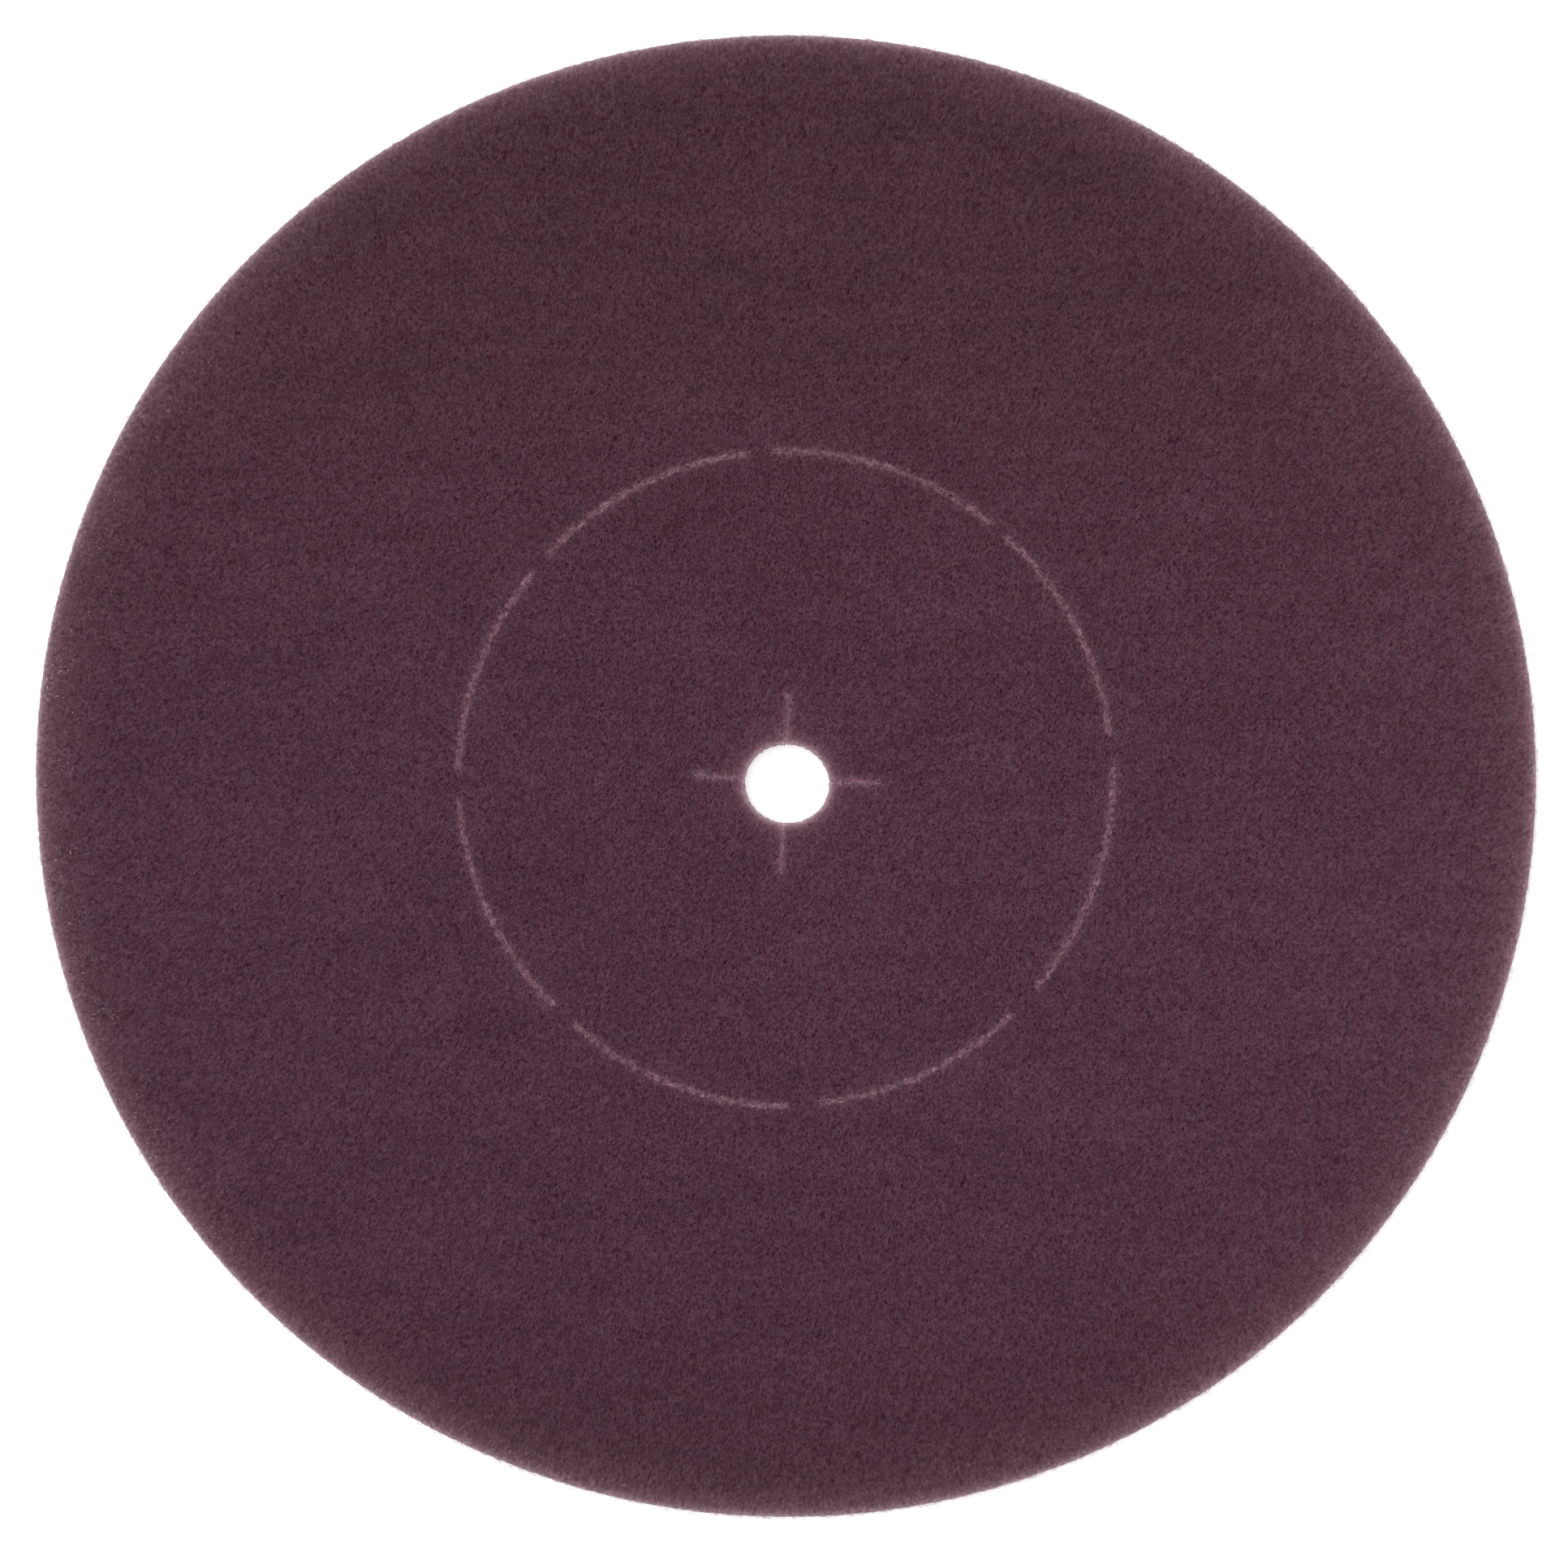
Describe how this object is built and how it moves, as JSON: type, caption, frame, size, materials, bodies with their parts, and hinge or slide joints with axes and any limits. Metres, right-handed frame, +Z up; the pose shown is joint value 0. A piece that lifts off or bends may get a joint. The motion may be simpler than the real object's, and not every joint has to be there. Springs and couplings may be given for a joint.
{
  "type": "floor polishing pad",
  "caption": "Thin round non-woven fibre pad for a single-disc floor machine, with a centre hole, a cross of short slits and a broken ring of slits for a larger opening.",
  "frame": {"origin": "on the underside, under the middle of the outline", "axes": "+Z up out of the face that is seen from above, +X to the right and +Y to the top of that view; the longest diameter lies 4.5 degrees below +X"},
  "size_m": [0.432, 0.4266, 0.0095],
  "materials": {
    "fibre_web": "matt, dark plum, curled nylon fibres bonded with abrasive resin"
  },
  "bodies": {
    "root": {"fibre_disc": "fibre_web"}
  },
  "joints": []
}
